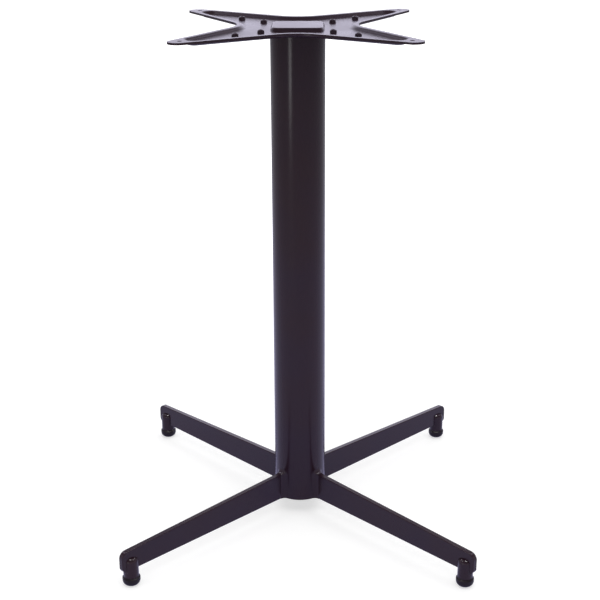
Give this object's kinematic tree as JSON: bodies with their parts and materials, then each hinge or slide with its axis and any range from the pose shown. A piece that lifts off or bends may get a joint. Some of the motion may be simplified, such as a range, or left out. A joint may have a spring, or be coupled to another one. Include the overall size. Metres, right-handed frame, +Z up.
{
  "type": "dining table base",
  "caption": "Black steel dining table base: round column on flat-bar legs with levelling feet, under a pressed cross-shaped bracket for the table top.",
  "frame": {"origin": "on the floor, under the axis of the column", "axes": "+Z up along the column; the legs and the arms of the bracket lie on the diagonals of X and Y"},
  "size_m": [0.4904, 0.4904, 0.735],
  "materials": {
    "black_powder_coat": "satin black powder coat with a faint violet cast",
    "black_nylon": "moulded black nylon",
    "zinc_steel": "zinc-plated steel"
  },
  "bodies": {
    "frame": {"top_plate": "black_powder_coat", "column": "black_powder_coat", "plate_weld": "black_powder_coat", "leg_back_right": "black_powder_coat", "leg_weld_back_right": "black_powder_coat", "foot_bush_back_right": "black_powder_coat", "leg_back_left": "black_powder_coat", "leg_weld_back_left": "black_powder_coat", "foot_bush_back_left": "black_powder_coat", "leg_front_left": "black_powder_coat", "leg_weld_front_left": "black_powder_coat", "foot_bush_front_left": "black_powder_coat", "leg_front_right": "black_powder_coat", "leg_weld_front_right": "black_powder_coat", "foot_bush_front_right": "black_powder_coat"},
    "levelling_foot_back_right": {"glide_back_right": "black_nylon", "levelling_stud_back_right": "zinc_steel"},
    "levelling_foot_back_left": {"glide_back_left": "black_nylon", "levelling_stud_back_left": "zinc_steel"},
    "levelling_foot_front_left": {"glide_front_left": "black_nylon", "levelling_stud_front_left": "zinc_steel"},
    "levelling_foot_front_right": {"glide_front_right": "black_nylon", "levelling_stud_front_right": "zinc_steel"}
  },
  "joints": [
    {"name": "foot_height_back_right", "type": "slide", "parent": "frame", "child": "levelling_foot_back_right", "axis": [0, 0, -1], "range_m": [0, 0.01]},
    {"name": "foot_height_back_left", "type": "slide", "parent": "frame", "child": "levelling_foot_back_left", "axis": [0, 0, -1], "range_m": [0, 0.01]},
    {"name": "foot_height_front_left", "type": "slide", "parent": "frame", "child": "levelling_foot_front_left", "axis": [0, 0, -1], "range_m": [0, 0.01]},
    {"name": "foot_height_front_right", "type": "slide", "parent": "frame", "child": "levelling_foot_front_right", "axis": [0, 0, -1], "range_m": [0, 0.01]}
  ]
}
